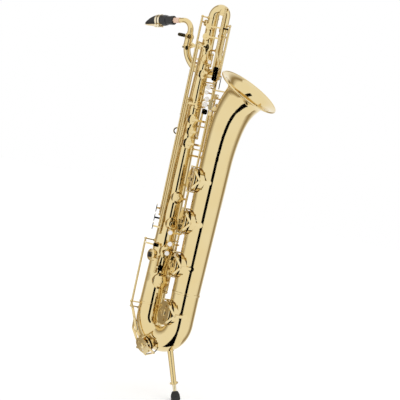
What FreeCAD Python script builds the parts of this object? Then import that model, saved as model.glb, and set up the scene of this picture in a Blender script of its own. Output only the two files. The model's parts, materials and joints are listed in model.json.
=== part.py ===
import FreeCAD, Part
import math
import os

# Low-A baritone saxophone with a floor peg.
# Working axes: z runs up the main tube, x points from the main tube to the bell, y points to the back.
# Every shape is moved at export so that the origin is the centre of the peg tip's flat end.
# "across" and "out" are measured from the main tube's axis: out is the way the key cups face,
# across is square to it, towards the bell.

# ---------------------------------------------------------------- driving dimensions (mm)
WALL = 1.1                      # brass sheet of the tubes
FRONT_DEG = -53.0               # direction that the key work faces, from +x
TUBE_FOOT_Z, TUBE_TOP_Z = 16.0, 850.0
TUBE_FOOT_R, TUBE_TOP_R = 36.0, 15.7
BOW_Z = -20.0                   # height of the bottom bow's centre
BOW_RADIUS = 57.2               # centreline radius of the bottom bow
BOW_BELL_R = 38.8               # tube radius where the bow meets the bell leg
BELL_FOOT_Z, BELL_FOOT_R = 72.0, 39.4
BELL_KNEE_X, BELL_KNEE_Z, BELL_KNEE_R = 120.0, 440.0, 44.0
RIM_X, RIM_Z, RIM_R, RIM_TILT = 179.0, 662.0, 89.0, 31.0
CROOK_Z, CROOK_RADIUS, CROOK_END_R = 860.0, 22.5, 11.0
LOOP_R = 10.5                   # tube radius of the pigtail loop
LOOP_LEFT_X, LOOP_RIGHT_X, LOOP_CORNER_Z = -73.0, 45.0, 756.6
NECK_R, NECK_BEND, NECK_Z = 8.8, 22.0, 834.5
CORK_END_X, TIP_X = -153.0, -250.0
PEG_FROM = (102.0, -100.0)      # x, z where the peg leaves the bow
PEG_TO = (160.0, -232.0)        # x, z of the peg tip's flat end
STEEL_R = 1.6                   # hinge rods
HINGE_R = 3.2                   # hinge tubes
RUN_FIT = 0.05                  # radial clearance of a hinge tube on its rod
BELL_CUP_R = 35.0
CHIMNEY = 5.0                   # height of a drawn tone hole over the main tube
BELL_CHIMNEY = 3.0              # the same on the bell and the bow
PAD_GAP = 0.5                   # pad seat over the chimney rim when a key is closed

V = FreeCAD.Vector
UP = V(0, 0, 1)
FRONT = V(math.cos(math.radians(FRONT_DEG)), math.sin(math.radians(FRONT_DEG)), 0)
ACROSS = V(-FRONT.y, FRONT.x, 0)
ORIGIN = V(PEG_TO[0], 0, PEG_TO[1])
PEG_AXIS = (V(PEG_TO[0], 0, PEG_TO[1]) - V(PEG_FROM[0], 0, PEG_FROM[1])).normalize()

nodes = {}
solids = {}                     # filled tubes, to trim what is soldered to them
moving = {}                     # key name to (hinge point, axis, travel in degrees)


# ---------------------------------------------------------------- small builders
def at(across, out, z):
    """Point in the key work's own directions."""
    return ACROSS * across + FRONT * out + UP * z


def polar(angle, radius, z, x0=0.0):
    """Point at an angle round a vertical axis through x0."""
    a = math.radians(angle)
    return V(x0 + radius * math.cos(a), radius * math.sin(a), z)


def flat(angle):
    """Horizontal unit vector."""
    return polar(angle, 1.0, 0.0)


def rod(p, q, r):
    """Round bar between two points."""
    return Part.makeCylinder(r, (q - p).Length, p, q - p)


def fuse(shapes):
    """One shape from many, without the seams between them."""
    first = shapes[0]
    if len(shapes) == 1:
        return first
    return first.multiFuse(shapes[1:]).removeSplitter()


def ring_at(centre, direction, side, r):
    """Circle wire whose start lies on the given side, so that lofts don't twist."""
    z = V(direction).normalize()
    x = (side - z * side.dot(z)).normalize()
    place = FreeCAD.Placement(centre, FreeCAD.Rotation(x, z.cross(x), z, "ZXY"))
    wire = Part.Wire(Part.makeCircle(r))
    wire.Placement = place
    return wire


def loft(stations, grow=0.0):
    """Solid through circles given as (centre, direction, radius)."""
    side = V(0, 1, 0)
    wires = [ring_at(c, d, side, r + grow) for c, d, r in stations]
    return Part.makeLoft(wires, True, False)


def bow_stations(centre, radius, r_start, r_end, count, over):
    """Circles round a half-circle bow in the xz plane, over the top (+1) or under the bottom (-1)."""
    out = []
    for i in range(count + 1):
        a = math.pi * i / count
        c = centre + V(-radius * math.cos(a), 0, over * radius * math.sin(a))
        d = V(math.sin(a), 0, over * math.cos(a))
        out.append((c, d, r_start + (r_end - r_start) * i / count))
    return out


def shell_cone(r0, r1, p, q):
    """Thin conical tube between two points."""
    h = (q - p).Length
    return Part.makeCone(r0, r1, h, p, q - p).cut(Part.makeCone(r0 - WALL, r1 - WALL, h, p, q - p))


def turned(profile, origin, axis):
    """Solid of revolution: profile points are (radius, height) along the axis."""
    z = V(axis).normalize()
    helper = V(1, 0, 0) if abs(z.x) < 0.9 else V(0, 1, 0)
    x = (helper - z * helper.dot(z)).normalize()
    pts = [origin + x * r + z * h for r, h in profile]
    face = Part.Face(Part.makePolygon(pts + [pts[0]]))
    return face.revolve(origin, z, 360)


def band(p, axis, r_in, r_out, h):
    """Plain ring with small chamfers."""
    c = min(0.8, (r_out - r_in) * 0.4)
    return turned([(r_in, 0), (r_out - c, 0), (r_out, c), (r_out, h - c), (r_out - c, h), (r_in, h)], p, axis)


def strip(points, z, height, thick):
    """Flat bar bent along points (x, y), standing on edge from z up."""
    parts = []
    for p, q in zip(points, points[1:]):
        a = V(p.x, p.y, z)
        b = V(q.x, q.y, z)
        n = UP.cross(b - a).normalize() * (thick / 2)
        wire = Part.makePolygon([a + n, b + n, b - n, a - n, a + n])
        parts.append(Part.Face(wire).extrude(UP * height))
    for p in points[1:-1]:
        parts.append(Part.makeCylinder(thick / 2, height, V(p.x, p.y, z)))
    return parts


def cup(centre, normal, r):
    """Domed key cup with a recess for its pad; centre is on the pad seat."""
    n = V(normal).normalize()
    helper = V(0, 0, 1) if abs(n.z) < 0.9 else V(1, 0, 0)
    x = (helper - n * helper.dot(n)).normalize()
    top = 3.0 + r * 0.11
    rim_in = centre + x * (r - 1.0)

    def point(radius, height):
        return centre + x * radius + n * height

    dome = Part.Arc(point(r, 3.0), point(r * 0.72, top - r * 0.035), point(r * 0.4, top)).toShape()
    edges = [Part.makeLine(rim_in, point(r, 0)), Part.makeLine(point(r, 0), point(r, 3.0)), dome]
    edges.append(Part.makeLine(point(r * 0.4, top), point(r * 0.36, top + 1.0)))
    edges.append(Part.makeLine(point(r * 0.36, top + 1.0), point(0, top + 1.2)))
    edges.append(Part.makeLine(point(0, top + 1.2), point(0, 2.2)))
    edges.append(Part.makeLine(point(0, 2.2), point(r - 1.0, 2.2)))
    edges.append(Part.makeLine(point(r - 1.0, 2.2), rim_in))
    return Part.Face(Part.Wire(edges)).revolve(centre, n, 360)


def cup_top(r):
    """Height of a cup's crown over its pad seat."""
    return 4.2 + r * 0.11


def keep(name, shape):
    """Store one sub-part."""
    nodes[name] = shape


def main_r(z):
    """Outer radius of the main tube at a height."""
    t = (z - TUBE_FOOT_Z) / (TUBE_TOP_Z - TUBE_FOOT_Z)
    return TUBE_FOOT_R + (TUBE_TOP_R - TUBE_FOOT_R) * min(max(t, 0.0), 1.0)


def bell_x(z):
    """Axis of the bell's straight stretch."""
    t = (z - BELL_FOOT_Z) / (BELL_KNEE_Z - BELL_FOOT_Z)
    return 2 * BOW_RADIUS + (BELL_KNEE_X - 2 * BOW_RADIUS) * max(t, 0.0)


def bell_r(z):
    """Outer radius of the bell's straight stretch."""
    t = (z - BELL_FOOT_Z) / (BELL_KNEE_Z - BELL_FOOT_Z)
    return BELL_FOOT_R + (BELL_KNEE_R - BELL_FOOT_R) * max(t, -0.2)


# ---------------------------------------------------------------- tone holes (node, angle, z, cup radius)
MAIN_HOLES = {
    "d_key": (-41.0, 84.0, 22.5),
    "e_key": (-41.0, 170.0, 20.0),
    "f_key": (-41.0, 251.0, 19.0),
    "f_sharp_key": (-43.0, 328.0, 17.5),
    "g_key": (-46.0, 487.0, 16.0),
    "g_sharp_key": (-40.0, 521.5, 14.0),
    "a_key": (-46.0, 556.0, 15.0),
    "b_key": (-48.0, 688.0, 13.0),
    "c_key": (-42.0, 732.0, 14.5),
    "low_e_flat_key": (-104.0, 152.0, 17.0),
    "side_b_flat_key": (-35.0, 600.0, 12.0),
    "side_c_key": (-52.0, 766.0, 11.5),
    "high_e_key": (-175.0, 838.0, 9.5),
    "palm_d_key": (-75.0, 796.0, 10.5),
    "palm_e_flat_key": (-70.0, 826.0, 9.5),
    "octave_key": (150.0, 720.0, 5.5),
}
BELL_HOLES = {
    "low_a_key": (-125.0, 390.0),
    "low_b_flat_key": (-125.0, 269.0),
    "low_b_key": (-125.0, 143.0),
    "low_c_sharp_key": (-114.0, 6.0),
}


def chimney(axis_point, normal, r_tube, r_hole):
    """Drawn tone hole: its tube, and the plug that opens the wall."""
    rise = BELL_CHIMNEY if r_tube > TUBE_FOOT_R else CHIMNEY
    seat = axis_point + normal * (r_tube + rise)
    base = axis_point + normal * (r_tube * 0.55)
    outer = rod(base, seat, r_hole)
    lip = turned([(r_hole - 0.5, -1.6), (r_hole + 0.9, -1.6), (r_hole + 0.9, 0), (r_hole - 0.5, 0)], seat, normal)
    plug = rod(axis_point + normal * (r_tube * 0.5), seat + normal, r_hole - 1.0)
    return outer.fuse(lip), plug


def drill(outer, inner, holes):
    """Hollow tube with chimneys; holes are (axis point, direction, tube radius, hole radius)."""
    rims = []
    plugs = []
    for point, normal, r_tube, r_hole in holes:
        rim, plug = chimney(point, normal, r_tube, r_hole)
        rims.append(rim)
        plugs.append(plug)
    whole = outer.multiFuse(rims) if rims else outer
    return whole.cut(inner).cut(Part.makeCompound(plugs)) if plugs else whole.cut(inner)


# ---------------------------------------------------------------- tubes
def make_body_tube():
    p = V(0, 0, TUBE_FOOT_Z)
    h = TUBE_TOP_Z - TUBE_FOOT_Z
    outer = Part.makeCone(TUBE_FOOT_R, TUBE_TOP_R, h, p)
    inner = Part.makeCone(TUBE_FOOT_R - WALL, TUBE_TOP_R - WALL, h, p)
    holes = []
    for angle, z, r in MAIN_HOLES.values():
        holes.append((V(0, 0, z), flat(angle), main_r(z), max(r - 3.0, 2.4)))
    solids["main"] = outer
    keep("body_tube", drill(outer, inner, holes))


def low_c_place():
    """Seat, normal and tube centre of the low C hole, under the front of the bow."""
    a = math.radians(78.0)
    centre = V(BOW_RADIUS - BOW_RADIUS * math.cos(a), 0, BOW_Z - BOW_RADIUS * math.sin(a))
    away = V(-math.cos(a), 0, -math.sin(a))
    normal = (away * 0.5 + V(0, -1, 0) * 0.866).normalize()
    return centre, normal


def make_bottom_bow():
    stations = bow_stations(V(BOW_RADIUS, 0, BOW_Z), BOW_RADIUS, TUBE_FOOT_R, BOW_BELL_R, 12, -1)
    left = V(0, 0, BOW_Z)
    right = V(2 * BOW_RADIUS, 0, BOW_Z)
    h_left = TUBE_FOOT_Z - BOW_Z
    h_right = BELL_FOOT_Z - BOW_Z
    outer = [loft(stations), Part.makeCylinder(TUBE_FOOT_R, h_left, left)]
    outer.append(Part.makeCone(BOW_BELL_R, BELL_FOOT_R, h_right, right))
    inner = [loft(stations, -WALL), Part.makeCylinder(TUBE_FOOT_R - WALL, h_left, left)]
    inner.append(Part.makeCone(BOW_BELL_R - WALL, BELL_FOOT_R - WALL, h_right, right))
    centre, normal = low_c_place()
    angle, z = BELL_HOLES["low_c_sharp_key"]
    holes = [(centre, normal, 37.2, 23.5), (V(bell_x(z), 0, z), flat(angle), 39.0, BELL_CUP_R - 4.0)]
    solids["bow"] = fuse(outer)
    keep("bottom_bow", drill(solids["bow"], fuse(inner), holes))


def flare_profile(inset):
    """Bell flare outline (radius, depth below the rim plane), for one face of the sheet."""
    outline = [(56.0, 28.0), (58.6, 20.0), (63.0, 13.0), (70.0, 6.5), (79.0, 2.4), (RIM_R, 0.0)]
    points = []
    for i, (r, d) in enumerate(outline):
        a = outline[max(i - 1, 0)]
        b = outline[min(i + 1, len(outline) - 1)]
        length = math.hypot(b[0] - a[0], b[1] - a[1])
        points.append((r + inset * (b[1] - a[1]) / length, d - inset * (b[0] - a[0]) / length))
    return points


def make_bell():
    tilt = math.radians(RIM_TILT)
    axis = V(math.sin(tilt), 0, math.cos(tilt))
    rim = V(RIM_X, 0, RIM_Z)
    p = V(2 * BOW_RADIUS, 0, BELL_FOOT_Z)
    q = V(BELL_KNEE_X, 0, BELL_KNEE_Z)
    curve = [(122.6, 500.0, 5.0, 45.6), (130.5, 560.0, 12.5, 48.6), (141.0, 596.0, 20.0, 50.8)]
    curve += [(152.5, 620.0, 26.5, 53.2)]
    throat = rim - axis * 28.0
    stations = [(q, (q - p).normalize(), BELL_KNEE_R)]
    for x, z, lean, r in curve:
        lean = math.radians(lean)
        stations.append((V(x, 0, z), V(math.sin(lean), 0, math.cos(lean)), r))
    stations.append((throat, axis, 56.0))
    outer = [Part.makeCone(BELL_FOOT_R, BELL_KNEE_R, (q - p).Length, p, q - p), loft(stations)]
    inner = [Part.makeCone(BELL_FOOT_R - WALL, BELL_KNEE_R - WALL, (q - p).Length, p, q - p)]
    inner.append(loft(stations, -WALL))
    holes = []
    for name, (angle, z) in BELL_HOLES.items():
        if z > BELL_FOOT_Z:
            holes.append((V(bell_x(z), 0, z), flat(angle), bell_r(z), BELL_CUP_R - 4.0))
    solids["bell"] = fuse(outer)
    tube = drill(solids["bell"], fuse(inner), holes)
    side = V(axis.z, 0, -axis.x)

    def curve_edge(points):
        spline = Part.BSplineCurve()
        spline.interpolate([rim + side * r - axis * d for r, d in points])
        return spline.toShape()

    outside = flare_profile(0.0)
    inside = flare_profile(WALL)
    inside[0] = (56.0 - WALL, 28.0)
    first = [rim + side * outside[0][0] - axis * outside[0][1], rim + side * inside[0][0] - axis * inside[0][1]]
    last = [rim + side * outside[-1][0] - axis * outside[-1][1], rim + side * inside[-1][0] - axis * inside[-1][1]]
    edges = [curve_edge(outside), Part.makeLine(last[0], last[1]), curve_edge(inside)]
    edges.append(Part.makeLine(first[1], first[0]))
    flare = Part.Face(Part.Wire(Part.__sortEdges__(edges))).revolve(rim, axis, 360)
    keep("bell", tube.fuse(flare))
    roll = Part.makeTorus(RIM_R + 1.2, 2.4, rim, axis)
    keep("bell_rim", roll.cut(flare))


def make_rings():
    foot = V(0, 0, TUBE_FOOT_Z)
    keep("body_bow_ring", band(foot - UP * 5, UP, TUBE_FOOT_R, TUBE_FOOT_R + 1.6, 4.8))
    low = V(2 * BOW_RADIUS, 0, BELL_FOOT_Z)
    keep("bell_bow_ring", band(low - UP * 6.4, UP, BELL_FOOT_R + 0.05, BELL_FOOT_R + 1.7, 6.2))


def make_top_bow():
    stations = bow_stations(V(CROOK_RADIUS, 0, CROOK_Z), CROOK_RADIUS, TUBE_TOP_R, CROOK_END_R, 10, 1)
    h = CROOK_Z - TUBE_TOP_Z
    drop = CROOK_Z - 816.0
    left = V(0, 0, TUBE_TOP_Z)
    right = V(LOOP_RIGHT_X, 0, 816.0)
    outer = [loft(stations), Part.makeCylinder(TUBE_TOP_R, h, left), Part.makeCylinder(CROOK_END_R, drop, right)]
    inner = [loft(stations, -WALL), Part.makeCylinder(TUBE_TOP_R - WALL, h, left)]
    inner.append(Part.makeCylinder(CROOK_END_R - WALL, drop, right))
    solids["crook"] = fuse(outer)
    bow = solids["crook"].cut(fuse(inner))
    collars = [band(left + UP * 1.0, UP, TUBE_TOP_R - 0.3, TUBE_TOP_R + 1.3, 6.0)]
    collars.append(band(right + UP * 0.5, UP, CROOK_END_R - 0.3, CROOK_END_R + 1.6, 9.0))
    keep("top_bow", bow.multiFuse(collars))


def loop_path():
    """Centreline of the pigtail: down, round behind the main tube, and up."""
    lean = V(0, 0.488, -0.873).normalize()
    bend = 40.0
    turn = math.acos(-lean.z)
    reach = bend * math.tan(turn / 2)
    half = (LOOP_RIGHT_X - LOOP_LEFT_X) / 2
    middle = V(LOOP_LEFT_X + half, 0, LOOP_CORNER_Z) + lean * reach
    edges = []

    def knee(x, down):
        corner = V(x, 0, LOOP_CORNER_Z)
        start = corner + UP * reach
        end = corner + lean * reach
        bisect = ((start + end) * 0.5 - corner).normalize()
        mid = corner + bisect * (bend / math.cos(turn / 2) - bend)
        return Part.Arc(start, mid, end) if down else Part.Arc(end, mid, start)

    edges.append(Part.LineSegment(V(LOOP_RIGHT_X, 0, 816.0), V(LOOP_RIGHT_X, 0, LOOP_CORNER_Z + reach)))
    edges.append(knee(LOOP_RIGHT_X, True))
    edges.append(Part.Arc(middle + V(half, 0, 0), middle + lean * half, middle - V(half, 0, 0)))
    edges.append(knee(LOOP_LEFT_X, False))
    edges.append(Part.LineSegment(V(LOOP_LEFT_X, 0, LOOP_CORNER_Z + reach), V(LOOP_LEFT_X, 0, 771.0)))
    return Part.Wire([e.toShape() for e in edges])


def swept(path, start, direction, r):
    """Round bar along a path of lines and arcs."""
    profile = Part.Wire(Part.makeCircle(r, start, direction))
    return path.makePipeShell([profile], True, False)


def make_pigtail():
    path = loop_path()
    start = V(LOOP_RIGHT_X, 0, 816.0)
    outer = swept(path, start, V(0, 0, -1), LOOP_R)
    inner = swept(path, start, V(0, 0, -1), LOOP_R - 1.0)
    solids["loop"] = outer
    keep("pigtail_loop", outer.cut(inner))


# ---------------------------------------------------------------- hinges
HINGES = {
    "stack_low": (V(43, 2, 0), [54.0, 204.0, 368.0]),
    "stack_g": (V(44.8, 18.7, 0), [474.0, 618.0, 706.0]),
    "stack_a": (V(51, 6, 0), [541.0, 662.0]),
    "stack_c": (V(31.9, -8.5, 0), [716.0, 748.0]),
    "g_sharp": (V(30.7, 4.3, 0), [507.0, 597.0]),
    "low_e_flat": (polar(-66, 42, 0), [108.0, 150.0]),
    "low_c_lever": (at(-57, 0, 0), [-8.0, 193.0]),
    "side_high_e": (at(-31.5, 12, 0), [270.0, 852.0]),
    "side_c": (at(-26, 22, 0), [245.0, 776.0]),
    "side_b_flat": (polar(-90, 34.5, 0), [220.0, 612.0]),
    "palm_d": (V(60, -12, 0), [668.0, 806.0]),
    "palm_e_flat": (V(68, -4, 0), [684.0, 836.0]),
    "palm_f": (V(56, -24, 0), [704.0, 882.0]),
    "thumb": (at(-33, -9, 0), [566.0, 702.0]),
    "octave": (polar(-170, 34, 0), [709.0, 731.0]),
}
LEG_POSTS = ("palm_d", "palm_e_flat", "palm_f")     # their upper posts stand on the crook's right leg
POST_ROOTS = {("stack_a", 541.0): polar(48, 23.0, 541.0)}     # led round the G sharp key's hinge tube
BELL_HINGES = {
    "low_a": (V(62, -8, 0), [377.0, 650.0]),
    "low_b_flat": (V(66, 2, 0), [256.0, 592.0]),
    "low_b": (V(69, 11, 0), [130.0, 610.0]),
    "low_c_sharp": (V(60, 10, 0), [-8.0, 628.0]),
}
FOOT_R = 4.3                    # round foot that a post is soldered on with
POST_HALF = 4.4                 # a post's head and its gap, either side of its height


def hinge_tube(point, z0, z1):
    """Hinge tube along a vertical rod, between two heights."""
    return Part.makeCylinder(HINGE_R, z1 - z0, point + UP * z0)


def bored(shape, point, direction):
    """Open the running bore for the steel rod through a finished key."""
    d = V(direction).normalize()
    return shape.cut(Part.makeCylinder(STEEL_R + RUN_FIT, 2000, point - d * 1000, d))


def post(point, root, r_head=4.0):
    """Turned post from a tube out to a hinge."""
    shapes = [rod(root, point, 2.1), Part.makeSphere(r_head, point)]
    return shapes


def make_hinges():
    rods = []
    body = []
    bell = []
    for name, (point, heights) in HINGES.items():
        rods.append(rod(point + UP * (heights[0] - 3.0), point + UP * (heights[-1] + 3.0), STEEL_R))
        for z in heights:
            on_leg = name in LEG_POSTS and z == heights[-1]
            led_round = POST_ROOTS.get((name, z))
            root = led_round or V(LOOP_RIGHT_X if on_leg else 0, 0, z)
            r_tube = 0.0 if led_round else CROOK_END_R if on_leg else main_r(z)
            away = (point + UP * z - root).normalize()
            body += post(point + UP * z, root)
            foot = root + away * (r_tube - 2.5)
            body.append(rod(foot, foot + away * 4.2, FOOT_R))
    for point, heights in BELL_HINGES.values():
        rods.append(rod(point + UP * (heights[0] - 3.0), point + UP * (heights[-1] + 3.0), STEEL_R))
        for z in heights:
            root = V(BELL_KNEE_X if z > 0 else 100.0, 0, z)
            bell += post(point + UP * z, root)
    point, axis = low_c_hinge()
    rods.append(rod(point - axis * 33, point + axis * 33, STEEL_R))
    for s in (-32.5, 32.5):
        head = point + axis * s
        body += post(head, V(4, 0, head.z))
    steel = Part.makeCompound(rods)
    keep("hinge_rods", steel)
    trimmed = fuse(body).cut(steel)
    for name in ("main", "bow", "crook", "loop"):
        trimmed = trimmed.cut(solids[name])
    keep("body_posts", trimmed)
    keep("bell_posts", fuse(bell).cut(solids["bell"]).cut(solids["bow"]).cut(steel))


# ---------------------------------------------------------------- keys
def pearl_cup(p, normal, r=7.2):
    """Shallow holder for a mother-of-pearl touch."""
    return turned([(0, 0), (r * 0.8, 0), (r, 1.2), (r, 3.2), (r - 0.7, 3.2), (r - 0.7, 1.6), (0, 1.6)], p, normal)


def arm(points, z, height=5.0, thick=2.6):
    return strip(points, z - height / 2, height, thick)


def hinged(name, shapes, hinge, seat, normal, opens, lift, axis=UP):
    """Fuse a key, bore it, and set it at rest: open-standing keys are swung off their seats."""
    n = V(normal).normalize()
    lever = (seat - hinge) - axis * (seat - hinge).dot(axis)
    swing = axis.cross(lever)
    reach = abs(swing.dot(n))
    travel = math.degrees(math.atan(lift / reach))
    towards = swing.dot(n) > 0
    shape = bored(fuse(shapes), hinge, axis)
    press = axis if towards != opens else axis * -1.0
    if opens:
        shape.rotate(hinge, press, -travel)
    moving[name] = (hinge, press, travel)
    keep(name, shape)


def tube_key(name, hinge_name, span, opens=True, lift=6.0, arm_z=None, extra=(), on_bell=False, detour=()):
    """Key with a cup on the main tube or the bell, hinged on a vertical rod."""
    hinge = (BELL_HINGES if on_bell else HINGES)[hinge_name][0]
    if on_bell:
        angle, z = BELL_HOLES[name]
        r = BELL_CUP_R
        axis_point = V(bell_x(z), 0, z)
        seat_r = max(bell_r(z), 39.0) + BELL_CHIMNEY + PAD_GAP
    else:
        angle, z, r = MAIN_HOLES[name]
        axis_point = V(0, 0, z)
        seat_r = main_r(z) + CHIMNEY + PAD_GAP
    n = flat(angle)
    seat = axis_point + n * seat_r
    side = (hinge + UP * z - seat)
    side = (side - n * side.dot(n)).normalize()
    crown = seat + n * (cup_top(r) - 1.0)
    shoulder = crown + side * (r * 0.9)
    level = z if arm_z is None else arm_z
    shapes = [hinge_tube(hinge, span[0], span[1]), cup(seat, n, r)]
    shapes += arm([hinge, *detour, shoulder, crown], level, 4.4 if r < 12 else 6.0)
    shapes += list(extra)
    hinged(name, shapes, hinge, seat, n, opens, lift)


def pearl_arm(hinge, way, across, out, z, r=7.2):
    """Arm from a hinge tube through way points to a pearl holder that faces the player's finger."""
    p = at(across, out, z)
    shapes = arm([hinge] + way + [p], z, 4.0, 2.4)
    shapes.append(pearl_cup(p - FRONT * 1.2, FRONT, r))
    return shapes


def plate(centre, normal, width, height, thick):
    """Flat touch plate standing upright."""
    n = V(normal).normalize()
    w = UP.cross(n)
    a = centre - w * (width / 2) - UP * (height / 2)
    wire = Part.makePolygon([a, a + w * width, a + w * width + UP * height, a + UP * height, a])
    box = Part.Face(wire).extrude(n * thick)
    edges = [e for e in box.Edges if abs(e.Length - thick) < 1e-6]
    return box.makeFillet(min(width, height) * 0.3, edges)


def make_stack_keys():
    low = HINGES["stack_low"][0]
    way = [V(55, -8, 0), V(57, -20, 0)]
    tube_key("d_key", "stack_low", (58.4, 173.2), extra=pearl_arm(low, way, 5.5, 62, 168.5))
    tube_key("e_key", "stack_low", (173.6, 199.6), arm_z=178.0, extra=pearl_arm(low, way, 8.5, 62, 196.0))
    tube_key("f_key", "stack_low", (208.4, 286.0), extra=pearl_arm(low, way, 2.5, 61, 228.0))
    tube_key("f_sharp_key", "stack_low", (286.4, 363.6))
    g = HINGES["stack_g"][0]
    a = HINGES["stack_a"][0]
    g_way = [V(43, -4, 0), V(50, -16, 0)]
    tube_key("g_key", "stack_g", (478.4, 613.6), extra=pearl_arm(g, g_way, 24.5, 50, 604.0))
    tube_key("b_key", "stack_g", (622.4, 701.6), arm_z=694.0, extra=pearl_arm(g, [V(41, -8, 0)], 24, 45, 655.0))
    a_way = [V(49, -10, 0)]
    bis = pearl_arm(a, a_way, 24, 44, 639.0, 5.6)
    tube_key("a_key", "stack_a", (545.4, 657.6), extra=pearl_arm(a, a_way, 28, 47, 620.0) + bis)
    c = HINGES["stack_c"][0]
    tube_key("c_key", "stack_c", (720.4, 743.6), lift=4.5, extra=pearl_arm(c, [V(32, -22, 0)], 12, 40, 725.0, 6.2))
    s = HINGES["g_sharp"][0]
    touch = plate(at(33, 50, 584), FRONT, 15, 15, 2.4)
    table = arm([s, V(46, -6, 0), at(34, 51, 0)], 584) + [touch]
    tube_key("g_sharp_key", "g_sharp", (511.4, 592.6), opens=False, lift=4.0, extra=table)


def make_low_keys():
    for name, hinge_name, way, across, z, height, level in (
        ("low_b_flat_key", "low_b_flat", at(53, 45, 0), 50, 582, 12, 582),
        ("low_b_key", "low_b", at(62, 45, 0), 59.5, 598, 12, 599.6),
        ("low_c_sharp_key", "low_c_sharp", at(53, 42, 0), 46.5, 607, 26, 618),
    ):
        hinge, heights = BELL_HINGES[hinge_name]
        touch = plate(at(across, 53, z), FRONT, 10, height, 2.4)
        extra = arm([hinge, way, at(across, 54, 0)], level, 4.6) + [touch]
        span = (heights[0] + POST_HALF, heights[1] - POST_HALF)
        tube_key(name, hinge_name, span, lift=4.5, extra=extra, on_bell=True)
    hinge, heights = BELL_HINGES["low_a"]
    thumb = arm([hinge, V(60, 12, 0), V(48, 30, 0), V(30, 40, 0)], 637)
    thumb.append(plate(V(30, 39, 637), V(0, 1, 0), 22, 12, 2.4))
    tube_key("low_a_key", "low_a", (heights[0] + POST_HALF, 645.6), lift=4.5, extra=thumb, on_bell=True)
    e_flat = HINGES["low_e_flat"][0]
    touch = [plate(at(4, 50, 122), FRONT, 14, 17, 2.4)] + arm([e_flat, at(4, 51, 0)], 122)
    tube_key("low_e_flat_key", "low_e_flat", (112.4, 145.6), opens=False, arm_z=142.0, extra=touch)


def make_side_keys():
    high = HINGES["side_high_e"][0]
    touch = arm([high, at(-43, 18, 0)], 287) + [plate(at(-43, 16, 287), ACROSS * -1, 14, 24, 2.2)]
    tube_key("high_e_key", "side_high_e", (274.6, 847.6), opens=False, lift=3.0, extra=touch)
    c = HINGES["side_c"][0]
    touch = arm([c, at(-43, 22, 0)], 259) + [plate(at(-43, 16, 259), ACROSS * -1, 14, 22, 2.2)]
    tube_key("side_c_key", "side_c", (249.6, 771.6), opens=False, lift=4.0, extra=touch)
    b = HINGES["side_b_flat"][0]
    touch = arm([b, at(-44, 21, 0)], 234) + [plate(at(-43, 16, 234), ACROSS * -1, 14, 22, 2.2)]
    tube_key("side_b_flat_key", "side_b_flat", (224.6, 607.6), opens=False, lift=4.0, extra=touch)


def make_palm_keys():
    d = HINGES["palm_d"][0]
    touch = arm([d, at(47.2, 42, 0)], 676) + [plate(at(46, 41, 667), ACROSS, 13, 20, 2.4)]
    tube_key("palm_d_key", "palm_d", (672.6, 801.6), opens=False, lift=3.5, extra=touch)
    e = HINGES["palm_e_flat"][0]
    touch = arm([e, at(58, 38, 0)], 692) + [plate(at(57, 36, 674), ACROSS, 13, 38, 2.4)]
    tube_key("palm_e_flat_key", "palm_e_flat", (688.6, 831.6), opens=False, lift=3.5, extra=touch,
             detour=[V(52, -17, 0)])
    f = HINGES["palm_f"][0]
    seat = V(42, -16.6, 871)
    n = V(0, -1, 0)
    r = 10.0
    crown = seat + n * (cup_top(r) - 1.0)
    shapes = [hinge_tube(f, 708.6, 877.4), cup(seat, n, r)]
    shapes += arm([f, crown + V(r * 0.9, 0, 0), crown], 871, 4.4)
    shapes += arm([f, at(38, 63, 0)], 712) + [plate(at(39, 62, 694), FRONT, 14, 40, 2.4)]
    hinged("palm_f_key", shapes, f, seat, n, False, 3.5)


def low_c_hinge():
    """Leaning hinge of the low C key: a point on it and its direction."""
    centre, n = low_c_place()
    axis = (UP - n * n.dot(UP)).normalize()
    return V(-31, -37, -20), axis


def plank(p, q, width, thick, face):
    """Flat bar from p to q, its broad side square to face."""
    d = (q - p).normalize()
    n = (face - d * face.dot(d)).normalize()
    w = n.cross(d) * (width / 2)
    t = n * (thick / 2)
    wire = Part.makePolygon([p + w + t, p - w + t, p - w - t, p + w - t, p + w + t])
    return Part.Face(wire).extrude(q - p)


def planks(points, width, thick, face):
    """Bent flat bar through several points."""
    shapes = [plank(p, q, width, thick, face) for p, q in zip(points, points[1:])]
    for p in points[1:-1]:
        shapes.append(Part.makeSphere(width * 0.45, p))
    return shapes


def make_low_c():
    centre, n = low_c_place()
    hinge, axis = low_c_hinge()
    r = 27.5
    seat = centre + n * (37.2 + BELL_CHIMNEY + PAD_GAP)
    crown = seat + n * (cup_top(r) - 0.6)
    tube = rod(hinge - axis * 28.0, hinge + axis * 28.0, HINGE_R)
    back = V(0, -1, 0)
    upper = planks([hinge + axis * 12, V(-14, -45, -34), V(8, -46, -68), crown], 8.0, 2.6, back)
    lower = planks([hinge - axis * 24, V(-16, -38, -66), V(8, -38, -92), crown + V(-8, 0, -4)], 7.0, 2.6, back)
    hinged("low_c_key", [tube, cup(seat, n, r)] + upper + lower, hinge, seat, n, True, 5.0, axis)
    lever = HINGES["low_c_lever"][0]
    shapes = [hinge_tube(lever, -8 + POST_HALF, 193 - POST_HALF)]
    shapes += arm([lever, at(-50, 40, 0), at(-26, 50, 0)], 184)
    shapes.append(plate(at(-22, 49, 184), FRONT, 16, 10, 2.4))
    shapes += arm([lever, lever + V(6, -12, 0)], 6, 8.0)
    keep("low_c_lever", bored(fuse(shapes), lever, UP))
    moving["low_c_lever"] = (lever, UP, 6.0)
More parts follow.
